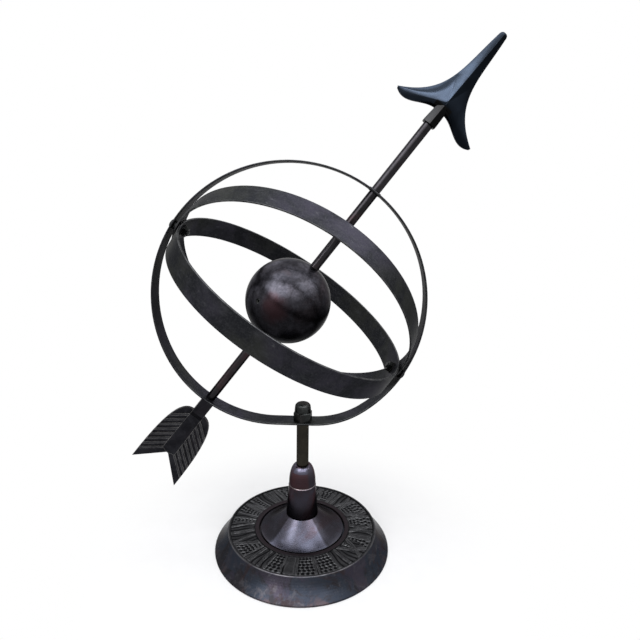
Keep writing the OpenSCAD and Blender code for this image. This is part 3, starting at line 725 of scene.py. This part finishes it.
def head_station(down):
    """The outer edge, the crest and the inner edge, the crest's height, and how round it is.

    Down is 0 at the tip, 1 at the fork and 2 at the barb's end.
    """
    if down < TIP_END:
        return tip_station(down / TIP_END)
    if down <= 1:
        return ridge_station((down - TIP_END) / (1 - TIP_END))
    return barb_station(down - 1)


def rise(t, rolled):
    """The climb from an edge to the crest: nearly straight where rolled is 0, and round where it is 1."""
    return (1 - rolled) * t ** 0.85 + rolled * np.sin(math.pi / 2 * t)


def half_head(bm, side):
    """One barb and its half of the blade, lofted through its stations."""
    rings = []
    for down in np.linspace(0, 2, STATIONS):
        outer, crest, inner, height, rolled = head_station(down)
        height *= HEAD_HALF_T
        edge = min(EDGE_HALF_T, EDGE_SHARE * height)
        foot = FOOT_SHARE * height if down <= 1 else edge
        up = np.linspace(0, 1, SLOPE_POINTS)
        back = np.linspace(0, 1, BACK_POINTS)[1:]
        top = [(outer + (crest - outer) * t, edge + (height - edge) * rise(t, rolled)) for t in up]
        top += [(crest + (inner - crest) * t, foot + (height - foot) * rise(1 - t, 1)) for t in back]
        under = [(p, -z) for p, z in reversed(top)]
        rings.append([(p[0] * side, z, p[1]) for p, z in top + under])
    loft(bm, rings)


def head_socket(bm):
    """The six-sided tapered socket, bored round for the rod."""
    bore = [round_ring(SOCKET_BORE_R, z, SOCKET_TURN) for z in (SOCKET_BORE_DEPTH, 0)]
    end_flat = SOCKET_END_CORNER * HEAD_HALF_T * math.cos(math.pi / 6)
    sides = [(SOCKET_HALF_W - SOCKET_BEVEL, 0), (SOCKET_HALF_W, SOCKET_BEVEL), (SOCKET_HALF_W, SOCKET_TAPER),
             (end_flat, SOCKET_END)]
    loft(bm, bore + [six_sided_ring(flat, z, SOCKET_TURN) for flat, z in sides])


def build_head():
    """The arrowhead with closer stations than the CAD's."""
    bm = bmesh.new()
    half_head(bm, 1)
    half_head(bm, -1)
    head_socket(bm)
    bm.transform(HEAD_FRAME)
    stand_in("cast_arrowhead", bm, "arrow_head", "sphere")


# The cap nut on the post, in mm from its foot: half the width across its flats, how far its corners reach as
# a share of that, its bore, and the angle of one of its flats
CAP_FLAT, CAP_CORNER, CAP_BORE_R, CAP_BORE_DEPTH, CAP_NUT_TURN = 7.65, 1.15, 4.9, 13, 52
# Up its outside: how far the flats stand in and at what height, then the crown's radius and height
CAP_HEXAGON = [(0.4, 0), (0, 0.5), (0, 7.7), (0.3, 8.0)]
CAP_CROWN = [(7.3, 8.2), (7.5, 8.9), (7.2, 12.4), (6.9, 14.1), (6.7, 14.5), (5.6, 15.7), (5.2, 15.9),
             (4.6, 15.5)]


def build_cap_nut():
    """A hexagon below, a step in, and a turned crown that narrows to a bevelled top."""
    bm = bmesh.new()
    bore = [round_ring(CAP_BORE_R, z, CAP_NUT_TURN) for z in (CAP_BORE_DEPTH, 0)]
    hexagon = [six_sided_ring(CAP_FLAT - inward, z, CAP_NUT_TURN, CAP_CORNER) for inward, z in CAP_HEXAGON]
    crown = [round_ring(radius, z, CAP_NUT_TURN) for radius, z in CAP_CROWN]
    loft(bm, bore + hexagon + crown)
    bm.transform(Matrix.Translation((0, 0, CAP_NUT_Z * MM)))
    stand_in("turned_cap_nut", bm, "cap_nut", "stand")


# The dial cast in the sunk band. Angles are in degrees from +X seen from above, -90 at the front.
BAND_IN, BAND_OUT, BAND_FLOOR = 43.55, 66.6, 17.0
# The greatest height of the relief, and how much its height varies round the dial
RELIEF, UNEVEN = 0.85, 0.1
# The points of the sheet round the dial and from its inner edge to its outer one
DIAL_AROUND, DIAL_ROWS = 1000, 46
# How far the sheet lies over the band's floor, and how far its two edges are sunk under it
SHEET_LIFT, EDGE_SINK = 0.02, 0.1
# The borders left free at the band's two round edges, and how wide a raised shape's sides and rim are
BORDER, BLOCK_BORDER, SIDE_W, RIM_W = 0.8, 1.2, 0.5, 0.4
# Shares of the relief: how high nets and blocks stand, and how far the middles of bars and blocks are sunk
NET_HEIGHT, BLOCK_HEIGHT, BAR_SUNK, BLOCK_SUNK = 0.95, 0.9, 0.45, 0.35
# The ground between them: its mean height and the grooves' depth as shares, its border, and its side's width
GROUND_HEIGHT, GROOVE_DEPTH, GROUND_BORDER, GROUND_SIDE_W = 0.28, 0.24, 0.6, 0.8
# Bars of the numerals: the angle at the inner edge, the angle at the outer edge, the width in mm
BARS = [(-181, -174, 2.0), (-168, -166, 3.0), (-160, -154, 1.8), (-144.5, -154, 3.4), (-136, -136, 1.6),
        (-131, -130, 2.8), (-122.5, -121, 2.4), (-115, -115, 1.5), (-103, -103, 1.5), (-90.5, -90.5, 1.5),
        (-75.5, -75.5, 1.5), (-73, -73, 1.5), (-57.5, -57.5, 1.5), (-48, -48, 2.8), (-43, -26, 3.0),
        (-23, -38, 3.0), (-17, -17, 1.6), (-9, 4, 2.6), (4, -9, 2.6), (16, 16, 1.5), (14, 26, 2.6),
        (26, 14, 2.6), (39, 47, 2.6), (47, 39, 2.6), (55, 56, 2.6), (60, 60.5, 2.6), (72, 76, 2.2),
        (80, 76, 2.8), (92, 92, 2.6), (97, 104, 2.4), (104, 97, 2.4), (115, 120, 2.2), (128, 130, 2.8),
        (139, 139, 1.5), (146, 146, 1.5), (148, 151.5, 2.4), (155, 151.5, 2.4), (165, 165, 1.5),
        (172, 172, 1.5)]
# Nets between the numerals: inner left and right angle, outer left and right angle, holes across
NETS = [(-143, -136, -153, -136, 4), (-115, -103, -115, -103, 3), (-90.5, -75.5, -90.5, -75.5, 4),
        (-73, -57.5, -73, -57.5, 4), (-22, -17, -27, -17, 2), (5, 14, 0, 16, 3), (27, 38, 20, 40, 4),
        (62, 71, 62, 75, 3), (139, 146, 139, 146, 2), (157, 165, 153, 165, 3), (172, 178, 172, 178, 2),
        (83, 91, 79, 91, 3), (106, 113, 99, 118, 3), (-35, -30, -31, -33, 2)]
# The rows of holes from edge to edge, the border outside them, and the least angle that has a net
NET_ROWS, NET_BORDER, NET_LEAST_ANGLE = 6, 1, 1.5
# A hole's radius and the shift of every second row, as shares of the spacing, then a net's rim: where it ends
# and how wide its slope is
HOLE_SHARE, ROW_SHIFT, NET_RIM_END, NET_RIM_SLOPE = 0.40, 0.25, 0.9, 0.4
# Smooth raised blocks: left and right angle
BLOCKS = [(-100.5, -92.5), (121.5, 126), (-16, -12)]


def soft_step(value):
    value = np.clip(value, 0, 1)
    return value * value * (3 - 2 * value)


def turned(angle):
    """The same angle between -180 and 180."""
    return (angle + 180) % 360 - 180


def from_ends(r, border):
    """How far a place lies inside the band's two round edges, less a border."""
    return np.minimum(r - BAND_IN, BAND_OUT - r) - border


def rimmed(inside, sunk):
    """A raised shape with its rim standing above its middle, from how far inside its outline a place is."""
    return soft_step(inside / SIDE_W + 0.5) * (1 - sunk * soft_step((inside - RIM_W) / SIDE_W))


def bar_height(r, turn, bar):
    """A bar of a numeral, which leans from one edge of the band to the other."""
    at_in, at_out, width = bar
    span = BAND_OUT - BAND_IN
    middle = at_in + (at_out - at_in) * (r - BAND_IN) / span
    lean = np.arctan(r * np.radians(at_out - at_in) / span)
    off = r * np.radians(np.abs(turned(turn - middle))) * np.cos(lean)
    return rimmed(np.minimum(width / 2 - off, from_ends(r, BORDER)), BAR_SUNK)


def net_height(r, turn, net):
    """The web of a net and, second, where the net lies."""
    in_left, in_right, out_left, out_right, columns = net
    up = (r - BAND_IN) / (BAND_OUT - BAND_IN)
    left = in_left + (out_left - in_left) * up
    right = in_right + (out_right - in_right) * up
    wide = np.maximum(right - left, 0.1)
    across = turned(turn - left) / wide
    pitch = r * np.radians(wide) / columns
    step = (BAND_OUT - BAND_IN - 2 * NET_BORDER) / NET_ROWS
    row = (r - BAND_IN - NET_BORDER) / step
    stagger = ROW_SHIFT * (np.floor(row) % 2)
    off_x = ((across * columns + stagger) % 1 - 0.5) * pitch
    off_y = (row % 1 - 0.5) * step
    hole = HOLE_SHARE * np.minimum(pitch, step)
    inside = np.minimum(np.minimum(across, 1 - across) * columns * pitch, from_ends(r, BORDER))
    area = soft_step(inside / SIDE_W) * (wide > NET_LEAST_ANGLE)
    strands = soft_step((np.hypot(off_x, off_y) - hole) / SIDE_W)
    web = np.maximum(strands, soft_step((NET_RIM_END - inside) / NET_RIM_SLOPE))
    return NET_HEIGHT * web * area, area


def block_height(r, turn, block):
    """A raised block between two angles."""
    left, right = block
    into = np.minimum(turned(turn - left), turned(right - turn)) * r * math.pi / 180
    return BLOCK_HEIGHT * rimmed(np.minimum(into, from_ends(r, BLOCK_BORDER)), BLOCK_SUNK)


def ground_height(r, turn):
    """Shallow wandering grooves between the raised shapes."""
    grooves = np.sin(np.radians(turn * 89) + 1.8 * np.sin(r * 0.21 + np.radians(turn * 5)))
    return (GROUND_HEIGHT + GROOVE_DEPTH * grooves) * soft_step(from_ends(r, GROUND_BORDER) / GROUND_SIDE_W)


def dial_height(r, turn):
    """How far the dial stands up from the band's floor, with the wobble of hand carving."""
    wobble = 0.5 * np.sin(np.radians(turn * 7) + r * 0.35) + 0.35 * np.sin(np.radians(turn * 19) - r * 0.8)
    place = turn + np.degrees(0.28 * wobble / r)
    ground = ground_height(r, turn)
    raised = np.zeros_like(r)
    for net in NETS:
        web, area = net_height(r, place, net)
        raised = np.maximum(raised, web)
        ground = ground * (1 - area)
    for bar in BARS:
        raised = np.maximum(raised, bar_height(r, place, bar))
    for block in BLOCKS:
        raised = np.maximum(raised, block_height(r, place, block))
    uneven = 1 + UNEVEN * np.sin(np.radians(turn * 3.0) + 1) * np.sin(r * 0.5)
    return np.maximum(raised, ground) * uneven * RELIEF / (1 + UNEVEN)


def dial_material():
    """Dark in the holes, dull on the ground, rubbed lighter on the tops, and a painted highlight round their
    edges.
    """
    m = Material("dial_patina")
    z = m.xyz()[2]
    speck = m.noise(420, rough=0.7)
    clouds = m.noise(45, shift=3.0)
    ground = m.mix(m.band(clouds, 0.35, 0.68), (0.0220, 0.0224, 0.0240), (0.0420, 0.0422, 0.0450))
    tops = m.mix(m.band(speck, 0.34, 0.70), (0.0340, 0.0343, 0.0370), (0.0760, 0.0765, 0.0810))
    color = m.mix(m.passing(z, BAND_FLOOR, 0.06, 0.22), (0.0060, 0.0062, 0.0070), ground)
    color = m.mix(m.passing(z, BAND_FLOOR, 0.35, 0.60), color, tops)
    # A painted highlight on the sloping sides of the raised shapes, broken up in patches
    slope = m.math("SUBTRACT", 1.0, m.upward())
    rub = m.band(m.noise(130, detail=3, shift=1.0), 0.34, 0.60, 0.35, 1.0)
    edge = m.mul(m.mul(m.band(slope, 0.03, 0.25), m.passing(z, BAND_FLOOR, 0.32, 0.52)), rub)
    color = m.mix(m.mul(edge, 0.85), color, (0.150, 0.152, 0.156))
    height = m.add(m.mul(speck, 0.8), m.noise(1500, detail=2))
    return m.metal(color, m.add(0.36, m.mul(speck, 0.15)), height, 0.13 * MM)


def build_dial():
    """One sheet over the band's floor, raised into the numerals and nets, its borders sunk in the casting."""
    angles = np.arange(DIAL_AROUND) * 360 / DIAL_AROUND - 180
    turn, r = np.meshgrid(angles, np.linspace(BAND_IN, BAND_OUT, DIAL_ROWS), indexing="ij")
    z = BAND_FLOOR + SHEET_LIFT + dial_height(r, turn)
    z[:, [0, -1]] = BAND_FLOOR - EDGE_SINK
    points = np.stack([r * np.cos(np.radians(turn)), r * np.sin(np.radians(turn)), z], axis=-1) * MM
    faces = []
    for i in range(DIAL_AROUND):
        here, after = i * DIAL_ROWS, (i + 1) % DIAL_AROUND * DIAL_ROWS
        faces += [(here + j, here + j + 1, after + j + 1, after + j) for j in range(DIAL_ROWS - 1)]
    mesh = bpy.data.meshes.new("dial_relief")
    mesh.from_pydata(points.reshape(-1, 3).tolist(), [], faces)
    mesh.shade_smooth()
    mesh.materials.append(dial_material())
    piece = bpy.data.objects.new("dial_relief", mesh)
    bpy.context.scene.collection.objects.link(piece)
    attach(piece, "stand")


set_camera()
set_stage()
dress_nodes()
build_head()
build_cap_nut()
build_dial()
